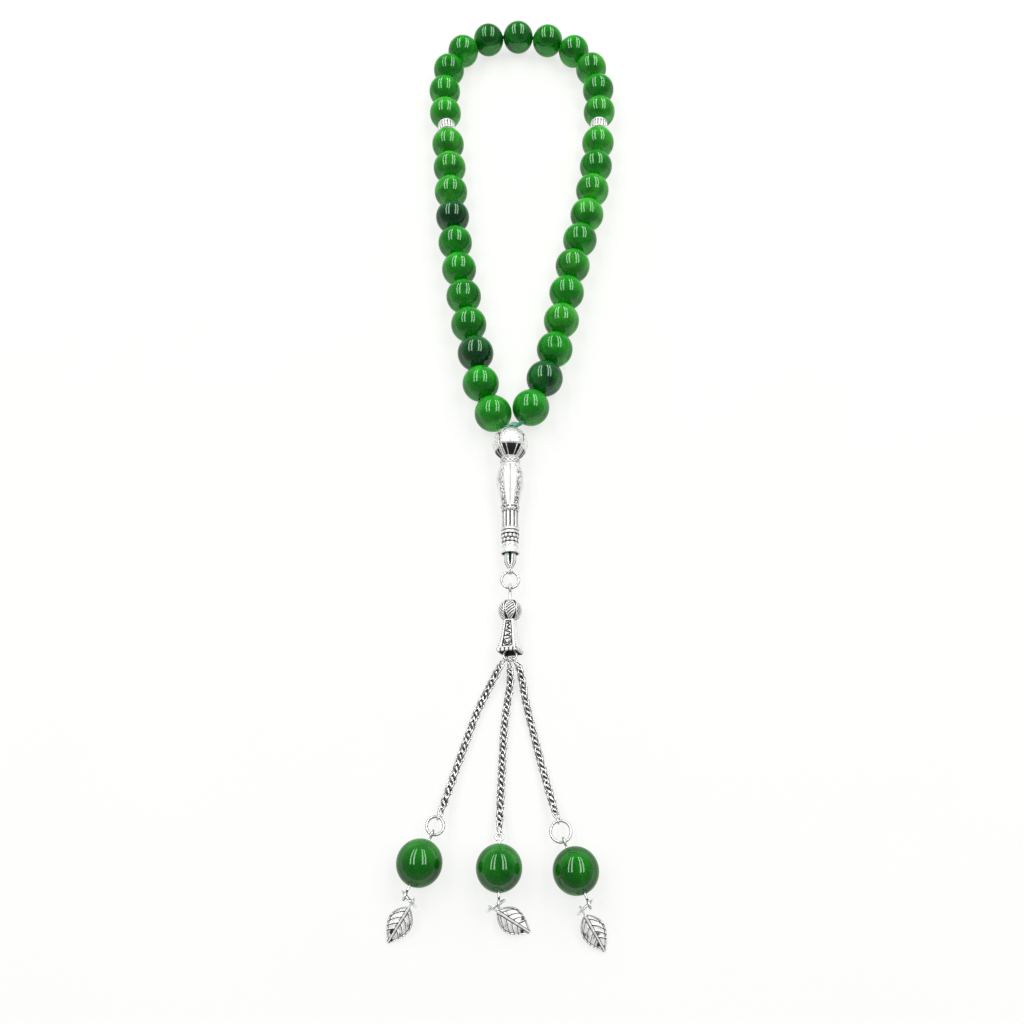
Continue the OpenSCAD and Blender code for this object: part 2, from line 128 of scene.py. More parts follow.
def silver(name, bright, dark=(0.02, 0.02, 0.022), rough=(0.12, 0.28), grain=900.0, relief=0.15, metallic=0.75):
    """Plated metal, bright by itself and darkened by a value on the mesh: patina in the engraved lines and grooves,
    and painted shade on the sides of wires, inside hollows and in the chains' gaps.
    """
    m, nodes, links, bsdf = new_material(name)
    bsdf.inputs["Metallic"].default_value = metallic
    worn = noise_node(nodes, links, 420.0, 5.0, 0.6)
    tone = ramp(nodes, [(0.3, tuple(c * 0.86 for c in bright)), (0.62, bright)])
    links.new(worn.outputs["Fac"], tone.inputs["Fac"])
    # The mesh's darkening value holds patina and painted shade; it mixes the tone towards the dark colour.
    rec = nodes.new("ShaderNodeAttribute")
    rec.attribute_name = "recess"
    sharp = map_range(nodes, 0.12, 0.72, smooth=True)
    links.new(rec.outputs["Fac"], sharp.inputs["Value"])
    mix = nodes.new("ShaderNodeMix")
    mix.data_type = "RGBA"
    links.new(sharp.outputs["Result"], mix.inputs["Factor"])
    links.new(tone.outputs["Color"], mix.inputs[6])
    mix.inputs[7].default_value = (*dark, 1.0)
    links.new(mix.outputs[2], bsdf.inputs["Base Color"])
    fine = noise_node(nodes, links, grain, 4.0, 0.6)
    polish = map_range(nodes, 0.3, 0.7, *rough)
    links.new(fine.outputs["Fac"], polish.inputs["Value"])
    links.new(polish.outputs["Result"], bsdf.inputs["Roughness"])
    add_bump(nodes, links, fine, relief, 0.00004, bsdf)
    return m


# Painted light and shade on each bead, as (place along a tilted direction, brightness factor): painted light towards
# both ends and painted shade in a band between them.
PAINTED_LIGHT_BANDS = [(0.0, 1.5), (0.13, 1.15), (0.3, 0.6), (0.5, 0.8), (0.75, 1.1), (1.0, 1.3)]


def bead_glass(name, deep, mid, light, seed, centre, glow):
    """Glossy green glass that imitates agate, with soft clouds and with painted light and shade along each bead:
    lighter towards both ends, a painted shade band across it.
    """
    m, nodes, links, bsdf = new_material(name)
    tc = nodes.new("ShaderNodeTexCoord")
    mp = nodes.new("ShaderNodeMapping")
    mp.inputs["Location"].default_value = (seed * 0.37, seed * 0.71, seed * 0.13)
    mp.inputs["Rotation"].default_value = (seed * 0.9, seed * 1.7, seed * 0.4)
    links.new(tc.outputs["Object"], mp.inputs["Vector"])
    cloud = nodes.new("ShaderNodeTexNoise")
    cloud.inputs["Scale"].default_value = 130.0
    cloud.inputs["Detail"].default_value = 4.0
    cloud.inputs["Roughness"].default_value = 0.55
    cloud.inputs["Distortion"].default_value = 1.2
    links.new(mp.outputs["Vector"], cloud.inputs["Vector"])
    r = ramp(nodes, [(0.33, deep), (0.5, mid), (0.68, light)])
    links.new(cloud.outputs["Fac"], r.inputs["Fac"])
    # Painted light and shade: the base colour is multiplied along a tilted direction through the bead's middle.
    own = nodes.new("ShaderNodeMapping")
    own.vector_type = "TEXTURE"
    own.inputs["Location"].default_value = centre
    own.inputs["Rotation"].default_value = (0.5 + random.uniform(-0.15, 0.15), 0.0, random.uniform(-0.3, 0.3))
    own.inputs["Scale"].default_value = [BEAD_R * MM] * 3
    links.new(tc.outputs["Object"], own.inputs["Vector"])
    axes = nodes.new("ShaderNodeSeparateXYZ")
    links.new(own.outputs["Vector"], axes.inputs[0])
    span = map_range(nodes, -1.0, 1.0)
    links.new(axes.outputs["Y"], span.inputs["Value"])
    painted_light_and_shade = ramp(nodes, [(place, (grey, grey, grey)) for place, grey in PAINTED_LIGHT_BANDS])
    links.new(span.outputs["Result"], painted_light_and_shade.inputs["Fac"])
    tint = nodes.new("ShaderNodeMix")
    tint.data_type = "RGBA"
    tint.blend_type = "MULTIPLY"
    tint.inputs["Factor"].default_value = 1.0
    links.new(r.outputs["Color"], tint.inputs[6])
    links.new(painted_light_and_shade.outputs["Color"], tint.inputs[7])
    links.new(tint.outputs[2], bsdf.inputs["Base Color"])
    facing = nodes.new("ShaderNodeLayerWeight")
    facing.inputs["Blend"].default_value = 0.5
    gloss = map_range(nodes, 0.16, 0.5, 0.9, 0.12, smooth=True)
    links.new(facing.outputs["Facing"], gloss.inputs["Value"])
    links.new(gloss.outputs["Result"], bsdf.inputs["Specular IOR Level"])
    bsdf.inputs["Roughness"].default_value = 0.05
    bsdf.inputs["IOR"].default_value = 1.42
    bsdf.inputs["Specular Tint"].default_value = (0.75, 1.0, 0.8, 1.0)
    bsdf.inputs["Transmission Weight"].default_value = glow
    bsdf.inputs["Subsurface Weight"].default_value = 0.2
    bsdf.inputs["Subsurface Scale"].default_value = 0.0015
    bsdf.inputs["Subsurface Radius"].default_value = (0.4, 1.0, 0.35)
    return m


def thread_material(name, shades):
    """Twisted green thread, from its darkest shade to its lightest."""
    m, nodes, links, bsdf = new_material(name)
    n = noise_node(nodes, links, 2600.0, 4.0, 0.7)
    r = ramp(nodes, list(zip((0.25, 0.55, 0.85), shades)))
    links.new(n.outputs["Fac"], r.inputs["Fac"])
    links.new(r.outputs["Color"], bsdf.inputs["Base Color"])
    bsdf.inputs["Roughness"].default_value = 0.75
    bsdf.inputs["Sheen Weight"].default_value = 0.5
    add_bump(nodes, links, n, 0.5, 0.00008, bsdf)
    return m


CAST = silver("cast_silver", (0.97, 0.97, 0.955), rough=(0.3, 0.5), grain=1500.0, relief=0.25, metallic=0.5)
WIRE = silver("wire_silver", (0.94, 0.94, 0.93), rough=(0.2, 0.34), grain=700.0, relief=0.08)
LINKS = silver("chain_silver", (0.88, 0.88, 0.86), dark=(0.03, 0.03, 0.03), rough=(0.18, 0.32))
LEAF = silver("leaf_silver", (0.98, 0.98, 0.97), rough=(0.28, 0.45), grain=1300.0, relief=0.2, metallic=0.35)
THREAD = thread_material("thread_green", [(0.01, 0.14, 0.06), (0.04, 0.30, 0.16), (0.16, 0.52, 0.33)])
THREAD_PALE = thread_material("thread_worn", [(0.10, 0.42, 0.26), (0.25, 0.62, 0.45), (0.48, 0.82, 0.68)])
THREAD_DARK = thread_material("thread_shaded", [(0.002, 0.03, 0.015), (0.008, 0.08, 0.04), (0.03, 0.16, 0.09)])


# ---------------------------------------------------------------- mesh helpers
def basis(x, up=UP):
    """Columns: x, its left side, and the upward side nearest to up."""
    x = x.normalized()
    y = up.cross(x).normalized()
    z = x.cross(y)
    return Matrix((x, y, z)).transposed()


def grid_faces(rows, cols, close_rows, close_cols, base=0, flip=False):
    out = []
    for i in range(rows if close_rows else rows - 1):
        a, b = base + i * cols, base + ((i + 1) % rows) * cols
        for k in range(cols if close_cols else cols - 1):
            n = (k + 1) % cols
            f = (a + k, a + n, b + n, b + k)
            out.append(f[::-1] if flip else f)
    return out


def build(name, parts, mat, body, node=None):
    """One piece from [(verts, faces, darkness or None)], in metres in the row frame; the darkness is patina and
    painted shade.
    """
    verts, faces, rec = [], [], []
    for v, f, r in parts:
        k = len(verts)
        verts += v
        faces += [tuple(i + k for i in q) for q in f]
        rec += r if r else [0.0] * len(v)
    me = bpy.data.meshes.new(name)
    me.from_pydata([tuple(v) for v in verts], [], faces)
    me.attributes.new("recess", "FLOAT", "POINT").data.foreach_set("value", rec)
    me.polygons.foreach_set("use_smooth", [True] * len(me.polygons))
    me.materials.append(mat)
    me.update()
    ob = bpy.data.objects.new(name, me)
    bpy.context.collection.objects.link(ob)
    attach(ob, body)
    if node:
        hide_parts(node)
    return ob


def transport(points, closed=False):
    """Frames along a path that turn no more than they must: (tangent, side, up)."""
    n = len(points)
    tang = []
    for i in range(n):
        a = points[i - 1] if (closed or i) else points[0]
        b = points[(i + 1) % n] if (closed or i < n - 1) else points[-1]
        tang.append((b - a).normalized())
    up = UP
    if abs(tang[0].dot(up)) > 0.9:
        up = Vector((0, 1, 0))
    side = tang[0].cross(up).normalized()
    out = []
    for i in range(n):
        if i:
            side = (side - tang[i] * side.dot(tang[i])).normalized()
        out.append((tang[i], side, side.cross(tang[i])))
    return out


def tube(points, radius, sides=10, closed=False, section=None, dark=None):
    """A swept tube. radius is a number or a list; section(i, angle) scales it;
    dark(i, outward direction, angle) is how dark it is there."""
    fr = transport(points, closed)
    twist = 0.0
    if closed:
        t, s0, u0 = fr[0]
        s1 = fr[-1][1]
        s1 = (s1 - t * s1.dot(t)).normalized()
        twist = math.atan2(s1.dot(u0), s1.dot(s0))
    verts, rec = [], []
    n = len(points)
    for i, p in enumerate(points):
        r = radius[i] if isinstance(radius, (list, tuple)) else radius
        turn = -twist * i / n
        for k in range(sides):
            a = 2 * math.pi * k / sides + turn
            q = r * (section(i, a) if section else 1.0)
            out = math.cos(a) * fr[i][1] + math.sin(a) * fr[i][2]
            verts.append(p + q * out)
            if dark:
                rec.append(dark(i, out, a))
    faces = grid_faces(n, sides, closed, True, flip=True)
    if not closed:
        faces.append(tuple(range(sides)))
        faces.append(tuple(reversed(range((n - 1) * sides, n * sides))))
    return verts, faces, rec or None


def patina_and_side_shade(normal, inner=1.0, outer=0.85, width=0.84, centre=None, points=None):
    """Painted shade, partly patina: a bent wire stays bright on its two faces and is darkened along its inner and
    outer sides.
    """
    def dark(i, out, a):
        side = min(1.0, max(0.0, (width - abs(out.dot(normal))) / 0.34))
        inward = centre is None or out.dot(centre - points[i]) > 0
        return (inner if inward else outer) * side
    return dark


def clamp(t):
    return max(0.0, min(1.0, t))


def resample(points, step):
    """Points along a polyline of Vectors at about that spacing."""
    out = [points[0].copy()]
    for a, b in zip(points, points[1:]):
        n = max(1, round((b - a).length / step))
        out += [a.lerp(b, i / n) for i in range(1, n + 1)]
    return out


def spline(points, step):
    """A smooth curve through points, at about that spacing."""
    out = []
    n = len(points)
    for i in range(n - 1):
        p0, p1, p2, p3 = points[max(i - 1, 0)], points[i], points[i + 1], points[min(i + 2, n - 1)]
        k = max(2, round((p2 - p1).length / step))
        for j in range(k):
            t = j / k
            out.append(0.5 * ((2 * p1) + (p2 - p0) * t + (2 * p0 - 5 * p1 + 4 * p2 - p3) * t * t
                              + (3 * p1 - p0 - 3 * p2 + p3) * t * t * t))
    out.append(points[-1].copy())
    return out


def profile_points(points, step):
    """A closed profile of (x, r) in mm, resampled."""
    out = []
    for (x0, r0), (x1, r1) in zip(points, points[1:] + points[:1]):
        n = max(1, round(math.hypot(x1 - x0, r1 - r0) / step))
        out += [(x0 + (x1 - x0) * i / n, r0 + (r1 - r0) * i / n) for i in range(n)]
    return out


def turned(points, segs, origin, m, relief=None, step=0.15, resampled=False):
    """A turned solid from a closed (x, r) profile in mm.
    relief(x, r, angle) gives (change of radius in mm, how dark it is: patina and painted shade).
    Angle 0 is the upward side, and it grows to the left side seen along the axis."""
    prof = points if resampled else profile_points(points, step)
    verts, rec = [], []
    for x, r in prof:
        for k in range(segs):
            a = 2 * math.pi * k / segs
            d, q = relief(x, r, a) if relief else (0.0, 0.0)
            rr = r + d
            verts.append(origin + m @ Vector((x, rr * math.sin(a), rr * math.cos(a))) * MM)
            rec.append(q)
    return verts, grid_faces(len(prof), segs, True, True), rec


def wrap(a, period):
    """a brought to the middle of its period, in degrees."""
    return (math.degrees(a) + period / 2) % period - period / 2


def bump(t):
    """1 at 0, falling to 0 at -1 and 1."""
    return max(0.0, 1.0 - t * t)


def grit(x, a, r, size, seed=0.0):
    """Grain of that size in mm on a turned surface."""
    return noise.noise(Vector((x / size + seed, r * math.sin(a) / size, r * math.cos(a) / size)))


# ---------------------------------------------------------------- glass beads
def bead_profile(bore_r):
    edge = 0.28
    th0 = math.asin((bore_r + edge) / BEAD_R)
    pts = []
    n = 34
    for i in range(n + 1):
        th = th0 + (math.pi - 2 * th0) * i / n
        pts.append((-BEAD_R * math.cos(th), BEAD_R * math.sin(th)))
    x_end = math.sqrt(BEAD_R**2 - (bore_r + edge) ** 2)
    pts += [(x_end - 0.03, bore_r + 0.13), (x_end - 0.16, bore_r + 0.02)]
    pts += [(x_end * (0.9 - 1.8 * i / 6), bore_r) for i in range(7)]
    pts += [(-x_end + 0.16, bore_r + 0.02), (-x_end + 0.03, bore_r + 0.13)]
    return pts


LOOP_BORE_R, PENDANT_BORE_R = 0.69, 0.34
LOOP_TONE, PENDANT_TONE = 1.35, 0.62

# Deep, middle and light green of each kind of bead
GREENS = {
    "plain": ((0.0015, 0.12, 0.003), (0.004, 0.18, 0.005), (0.012, 0.27, 0.010)),
    "dark": ((0.001, 0.035, 0.008), (0.003, 0.075, 0.010), (0.008, 0.15, 0.02)),
    "dim": ((0.001, 0.07, 0.006), (0.003, 0.12, 0.008), (0.01, 0.2, 0.015)),
    "fresh": ((0.004, 0.14, 0.004), (0.012, 0.22, 0.008), (0.04, 0.33, 0.02)),
}
TONE = {3: "dark", 8: "dark", 32: "dark", 16: "dim", 17: "dim",
        **{i: "fresh" for i in (9, 10, 11, 12, 20, 22, 23, 25, 26, 28, 30)}}


def glass_bead(name, joint, body, node, bore_r, tone, seed, strength):
    random.seed(seed)
    v = [tuple(c * strength * random.uniform(0.88, 1.12) for c in col) for col in GREENS[tone]]
    mat = bead_glass(name + "_glass", *v, seed=seed, centre=tuple(at(joint)), glow=random.uniform(0.022, 0.036))
    m = basis(along(joint))
    turn = Matrix.Rotation(random.uniform(0, 6.28), 3, "X")
    part = turned(bead_profile(bore_r), 56, at(joint), m @ turn, resampled=True)
    return build(name, [part], mat, body, node)


for i in range(1, 34):
    n = f"bead_{i:02d}"
    glass_bead(n + "_agate", n + "_spin", n, n, LOOP_BORE_R, TONE.get(i, "plain"), 100 + i, LOOP_TONE)
for i, s in enumerate(SIDES):
    n = "pendant_bead_" + s
    glass_bead(n + "_agate", n + "_spin", n, n, PENDANT_BORE_R, "plain", 200 + i, PENDANT_TONE)

# ---------------------------------------------------------------- spacer discs
SPACER_FLUTES = 16


def spacer_relief(x, r, a):
    if r < 1.5 or abs(x) > 1.3:
        return (0.0, 0.35 if abs(abs(x) - 1.32) < 0.12 and r > 2.4 else 0.0)
    t = abs(wrap(a, 360 / SPACER_FLUTES)) / (180 / SPACER_FLUTES)
    d = max(0.0, t - 0.55) / 0.45
    return (-0.32 * d, 0.9 * d)


for s in ("left", "right"):
    n = "spacer_" + s
    prof = [(-1.8, 0.75), (-1.8, 2.3), (-1.72, 2.62), (-1.5, 2.68), (-1.3, 2.62), (-1.24, 2.5), (-0.6, 2.66),
            (0.6, 2.66), (1.24, 2.5), (1.3, 2.62), (1.5, 2.68), (1.72, 2.62), (1.8, 2.3), (1.8, 0.75)]
    part = turned(prof, 160, at(n + "_spin"), basis(along(n + "_spin")), spacer_relief)
    build(n + "_fluted", [part], CAST, n, n)

# ---------------------------------------------------------------- leader ball
BALL_R, BALL_H = 4.7, 4.45
PETAL_TURN = 5.5


def ball_relief(x, r, a):
    """Four petals: grained above, and below three dark windows between bright ribs.
    The windows of the petal that faces up are the tallest."""
    if r < 1.5 or abs(x) > BALL_H - 0.02:
        # The bore is dark: painted shade.
        return (0.0, 0.4 if r < 1.5 else 0.0)
    t = x / BALL_H
    p = wrap(a - math.radians(PETAL_TURN), 90.0)
    u = abs(p) / 45.0
    side = abs(wrap(a - math.radians(PETAL_TURN), 360.0)) > 45.0
    low = (0.5 if side else 0.3) - 0.06 * u**4
    seam = bump((1 - u) / 0.07)
    if t < low:
        top = -0.80 + 0.55 * u**2.0
        line = bump((t - top) / 0.05)
        stip = grit(x, a, r, 0.26) + 0.6 * grit(x, a, r, 0.14, 7.0)
        dent = max(0.0, stip - 0.30) * 2.4
        rim = bump((t - low + 0.06) / 0.05)
        if rim > 0:
            return (0.06 * rim, 0.0)
        return (0.03 * stip - 0.10 * line - 0.16 * seam, min(0.95, 0.8 * line + 0.7 * seam + dent))
    if t < 0.93:
        k = (t - low) / (0.93 - low)
        half = 39.0 - 6.0 * k
        rib = max(bump((abs(p) - 21.0 + 6.0 * k) / (1.7 + 0.8 * k)), bump((abs(p) - half) / (2.6 + k)))
        if abs(p) > half:
            rib = max(rib, 1.0 - bump((abs(p) - half - 3.4 - 1.5 * k) / (2.0 + k)))
        edge = max(bump(k / 0.05), bump((1 - k) / 0.07))
        keep = clamp(max(rib, edge) * 1.8)
        return (-0.36 * (1 - keep), 1.0 - keep)
    return (0.04, 0.0)


def ball_arc(radius, half, inset, steps):
    """The outside of a ball cut flat at both ends, as (x, r) in mm."""
    th0 = math.acos(half / radius)
    turns = [th0 + (math.pi - 2 * th0) * i / steps for i in range(steps + 1)]
    return [(-radius * math.cos(th), radius * math.sin(th) - inset) for th in turns]


ball_prof = ball_arc(BALL_R, BALL_H, 0.04, 96)
ball_prof += [(BALL_H - 0.02, 1.42), (BALL_H - 0.12, 1.36)]
ball_prof += [((BALL_H - 0.2) * (1 - i / 4), 1.345) for i in range(9)]
ball_prof += [(0.12 - BALL_H, 1.36), (0.02 - BALL_H, 1.42)]
ball_prof = [(max(-BALL_H, min(BALL_H, x)), r) for x, r in ball_prof]
ball_part = turned(ball_prof, 288, at("imame_ball_spin"), basis(along("imame_ball_spin")), ball_relief,
                   resampled=True)
build("imame_ball_petals", [ball_part], CAST, "imame_ball", "imame_ball")

# ---------------------------------------------------------------- leader body
# Along the body in mm: the pear, the fluted stem, the band, the bell and its end
PEAR = [(0, 0.62), (0.08, 0.8), (0.18, 0.94), (0.3, 1.0), (0.42, 0.98), (0.56, 0.88), (0.7, 0.76), (0.84, 0.67),
        (1, 0.63)]
X_PEAR, X_STEM, X_BAND, X_BELL, X_END = 1.6, 14.4, 19.2, 23.2, 26.0


def pear_r(x):
    t = (x - X_PEAR) / (X_STEM - X_PEAR)
    for (a, ra), (b, rb) in zip(PEAR, PEAR[1:]):
        if t <= b:
            k = (t - a) / (b - a)
            k = k * k * (3 - 2 * k) * 0.35 + k * 0.65
            return max((ra + (rb - ra) * k) * 3.55, 2.15)
    return 2.24


def body_relief(x, r, a):
    if r < 1.6 or x > X_END - 1.2 and r < 2.1:
        # Inside the bell's mouth the surface is dark: painted shade.
        return (0.0, 0.9 if x > X_END - 2 else 0.0)
    if x < X_PEAR:
        wave = 0.16 * math.cos(a * 14)
        line = max(bump((x - 0.55 - wave) / 0.13), bump((x - 1.12 + wave) / 0.13))
        return (0.04 - 0.10 * line, 0.95 * line)
    if x < X_STEM:
        t = (x - X_PEAR) / (X_STEM - X_PEAR)
        p = wrap(a, 90.0)
        half = 19.0 + 15.0 * math.sin(math.pi * min(1.0, t * 1.02)) ** 0.8
        if t < 0.05:
            return (0.03, 0.25 * bump((t - 0.045) / 0.015))
        if abs(p) < half:
            line = bump(p / 2.8) if t < 0.93 else 0.0
            edge = bump((abs(p) - half) / 2.4)
            lift = 0.10 * bump((abs(p) - half * 0.45) / (half * 0.75))
            spot = max(0.0, grit(x, a, r, 0.2) - 0.42) * 3.0 if p < -half * 0.4 else 0.0
            mark = 0.9 * bump((t - 0.94) / 0.03) * bump((abs(p) - half * 0.55) / (half * 0.4))
            return (lift - 0.14 * line - 0.12 * edge, min(1.0, 0.5 * line + 0.45 * edge + mark + spot))
        g = grit(x, a, r, 0.30) + 0.5 * grit(x, a, r, 0.16, 3.0)
        dark = clamp((g + 0.02 + 0.22 * (t - 0.4)) * 2.6)
        return (0.06 - 0.22 * dark, 0.95 * dark)
    if x < X_BAND:
        t = abs(wrap(a + 0.26, 30.0)) / 15.0
        d = max(0.0, t - 0.45) / 0.55
        ends = min(1.0, min(x - X_STEM, X_BAND - x) / 0.45)
        top = bump((x - X_STEM - 0.35) / 0.4) * max(0.0, 1.0 - t * 1.1)
        return (-0.26 * d * ends + 0.04 - 0.1 * top, min(1.0, 1.15 * d * ends + 0.8 * top))
    k = (x - X_BAND) / (X_BELL - X_BAND)
    if k < 0.42:
        g = bump((k - 0.2) / 0.045)
        h = bump((k - 0.0) / 0.02) + bump((k - 0.42) / 0.03)
        return (-0.25 * g, min(1.0, 0.95 * g + 0.8 * h))
    if k < 1.0:
        u = wrap(a + (0.26 if k > 0.7 else 0.0), 30.0) / 15.0
        v = ((k - 0.44) / 0.27 % 1.0) * 2 - 1
        g = bump(math.hypot(u, v) * 0.92)
        spot = max(0.0, grit(x, a, r, 0.22) - 0.3) * 1.6
        return (-0.12 + 0.26 * g, min(1.0, 1.05 * (1 - g) ** 2.2 + spot))
    q = (x - X_BELL) / (X_END - X_BELL)
    s = abs(wrap(a, 45.0)) / 22.5
    arc = bump((q - 0.28 - 0.25 * s * s) / 0.07)
    return (-0.07 * arc, 0.5 * arc + 0.35 * bump((q - 0.05) / 0.06))


prof = [(0.0, 1.36), (0.0, 2.1), (0.12, 2.45), (0.33, 2.58), (1.3, 2.58), (1.5, 2.45)]
prof += [(X_PEAR + i * 0.16, pear_r(X_PEAR + i * 0.16)) for i in range(1, 80)]
prof += [(X_STEM + 0.1, 2.12), (X_BAND - 0.15, 2.12), (X_BAND, 2.33), (X_BAND + 0.3, 2.35), (X_BAND + 0.7, 2.35),
         (X_BAND + 1.6, 2.33), (X_BAND + 1.75, 2.2), (X_BELL - 0.15, 2.15), (X_BELL, 2.0), (X_BELL + 0.4, 1.98),
         (X_BELL + 1.1, 2.1), (X_BELL + 1.9, 2.3), (X_BELL + 2.4, 2.43), (X_BELL + 2.65, 2.45), (X_END, 2.38),
         (X_END, 2.2), (X_END - 0.1, 2.1), (X_END - 0.95, 1.62), (X_END - 1.0, 1.36)]
build("imame_body_relief",
      [turned(prof, 224, at("imame_body_spin"), basis(along("imame_body_spin")), body_relief, step=0.14)],
      CAST, "imame_body", "imame_body")


# ---------------------------------------------------------------- rings and eye pins
RING_WIRE = 0.6


def ring_path(centre, normal, r, start=0.0, gap=3.0, n=60):
    m = basis(normal.normalized(), Vector((0, 1, 0)) if abs(normal.z) > 0.9 else UP)
    out = []
    for i in range(n + 1):
        a = math.radians(start + gap / 2 + (360 - gap) * i / n)
        out.append(centre + m @ Vector((0, math.cos(a), math.sin(a))) * r * MM)
    return out


def jump_ring(name, centre, normal, outer_d, body, node, start, outer=0.85):
    path = ring_path(centre, normal, (outer_d - RING_WIRE) / 2, start)
    # Painted shade along the ring's sides, partly patina.
    dark = patina_and_side_shade(normal.normalized(), outer=outer, centre=centre, points=path)
    return build(name, [tube(path, RING_WIRE / 2 * MM, 20, dark=dark)], WIRE, body, node)


for n, outer_d, start in (("tassel_ring", 4.9, 200), ("chain_ring_left", 4.4, 250), ("chain_ring_right", 5.1, 140)):
    jump_ring(n + "_wire", at(n + "_swing"), UP, outer_d, n, n, start)


def eye_path(loop_centre, to_shank, side, r):
    """From the free end of an eye's wire, round it, and out along the shank."""
    out = []
    for i in range(29):
        a = math.radians(30 + 300 * i / 28)
        out.append(loop_centre + (to_shank * math.cos(a) + side * math.sin(a)) * r * MM)
    return out


def eye_pin(name, node, a_centre, a_side, b_centre, b_side, r_a, r_b, wire, shank):
    d = (b_centre - a_centre).normalized()
    p = eye_path(a_centre, d, a_side, r_a)
    p.append(a_centre + d * (r_a + 0.12) * MM - a_side * 0.10 * MM)
    n0 = len(p)
    s0, s1 = a_centre + d * (r_a + 0.45) * MM, b_centre - d * (r_b + 0.45) * MM
    p += resample([s0, s1], 0.0006)
    n1 = len(p)
    back = eye_path(b_centre, -d, b_side, r_b)
    p.append(b_centre - d * (r_b + 0.12) * MM - b_side * 0.10 * MM)
    p += back[::-1]
    rad = [(wire[0] if i < n0 else shank if i < n1 else wire[1]) / 2 * MM for i in range(len(p))]
    # Painted shade along the pin's sides, partly patina.
    return build(name, [tube(p, rad, 20, dark=patina_and_side_shade(UP, 0.85, 0.85, 0.7))], WIRE, node, node)


PIN_R, CHAIN_EYE_R = 0.8, 1.5
BEAD_TO_EYE = BEAD_R + 0.6 + 0.25 + PIN_R
TASSEL_RING_R = Vector((0, 2.15, 0)) * MM
chain_eye = at("chain_left_swing")
eye_pin("tassel_pin_wire", "tassel_pin", at("tassel_ring_swing") - TASSEL_RING_R, UP, chain_eye, Vector((1, 0, 0)),
        0.9, CHAIN_EYE_R, (0.66, 0.6), 0.68)

RING_START = {"left": 100, "middle": 160, "right": 30}
for s in SIDES:
    d = along(f"pendant_bead_{s}_spin")
    c = at(f"pendant_bead_{s}_spin")
    upper = c - d * BEAD_TO_EYE * MM
    lower = at(f"leaf_ring_{s}_swing")
    lateral = d.cross(UP).normalized()
    upward = lateral.cross(d)
    eye_pin("pendant_pin_" + s + "_wire", "pendant_pin_" + s, upper, lateral if s == "middle" else upward,
            lower, -upward, PIN_R, PIN_R, (0.5, 0.5), 0.5)
    line = (at(f"leaf_{s}_swing") - lower).normalized()
    wire_dir = along(f"leaf_ring_{s}_swing")
    normal = line.cross(wire_dir)
    jump_ring("leaf_ring_" + s + "_wire", (lower + at(f"leaf_{s}_swing")) / 2, normal, 4.9, "leaf_ring_" + s,
              "leaf_ring_" + s, RING_START[s], 0.1)


# ---------------------------------------------------------------- bead tip
def bead_tip():
    o, m = at("tip_swivel"), basis(along("tip_swivel"))
    rows = [(0.0, 1.33, 1.30), (0.06, 1.40, 1.22), (0.35, 1.47, 1.2), (0.9, 1.5, 1.22), (1.6, 1.5, 1.22),
            (2.3, 1.49, 1.21), (2.8, 1.46, 1.18), (3.3, 1.28, 1.0), (3.8, 1.06, 0.78), (4.25, 0.83, 0.55),
            (4.6, 0.66, 0.38), (4.9, 0.50, 0.22), (5.0, 0.44, 0.18)]
    path = []
    for (x0, a0, b0), (x1, a1, b1) in zip(rows, rows[1:]):
        n = max(1, round((x1 - x0) / 0.12))
        path += [(x0 + (x1 - x0) * i / n, a0 + (a1 - a0) * i / n, b0 + (b1 - b0) * i / n) for i in range(n)]
    path.append(rows[-1])
    verts, rec, n = [], [], 40
    for x, ro, ri in path:
        gap = 0.36 if x < 2.5 else max(0.06, 0.36 * (4.6 - x) / 2.1)
        # The inside of the cups is dark and their sides are darkened: painted shade.
        for r, order, q in ((ro, range(n + 1), 0.0), (ri, range(n, -1, -1), 0.9)):
            s = math.asin(min(0.9, gap / r))
            for k in order:
                a = s + (2 * math.pi - 2 * s) * k / n
                verts.append(o + m @ Vector((x, r * math.sin(a), r * math.cos(a))) * MM)
                rec.append(max(q, 0.75 * bump((abs(math.cos(a)) - 0.1) / 0.4)))
    w = 2 * (n + 1)
    faces = grid_faces(len(path), w, False, True)
    faces.append(tuple(reversed(range(w))))
    faces.append(tuple(range((len(path) - 1) * w, len(path) * w)))
    hook = turned([(-0.5, 0.56), (-0.5, 0.76), (-0.42, 0.82), (0.42, 0.82), (0.5, 0.76), (0.5, 0.56)], 40,
                  at("tassel_ring_swing") + TASSEL_RING_R, basis(Vector((1, 0, 0))), step=0.1)
    build("bead_tip_cups", [(verts, faces, rec), hook], WIRE, "tip", "bead_tip")


bead_tip()


# ---------------------------------------------------------------- knot ball
KNOT_R, KNOT_H = 2.85, 2.4


def knot_relief(x, r, a):
    """Six lobes of slanting wire strokes between bright ropes."""
    if r < 0.7 or abs(x) > KNOT_H - 0.04:
        # The bore is dark, the flat ends a little darker: painted shade.
        return (0.0, 0.55 if r < 1.0 else 0.1)
    p = wrap(a, 60.0)
    k = int(math.floor((math.degrees(a) + 30.0) / 60.0)) % 6
    lat = x / 2.5
    lobe = 26.0 * math.cos(lat * 1.25) ** 0.8
    if abs(p) < lobe - 3:
        v = (lat * 3.2 - p / 17.0 if k % 2 else lat * 3.4 + p / 20.0) % 1.0
        g = bump((v - 0.5) / 0.48)
        return (-0.24 + 0.30 * g**0.7, 1.3 * (1 - g) ** 1.3)
    g = bump((abs(p) - lobe) / 3.2)
    return (-0.16 + 0.28 * g, 0.9 * (1 - g) ** 1.8)


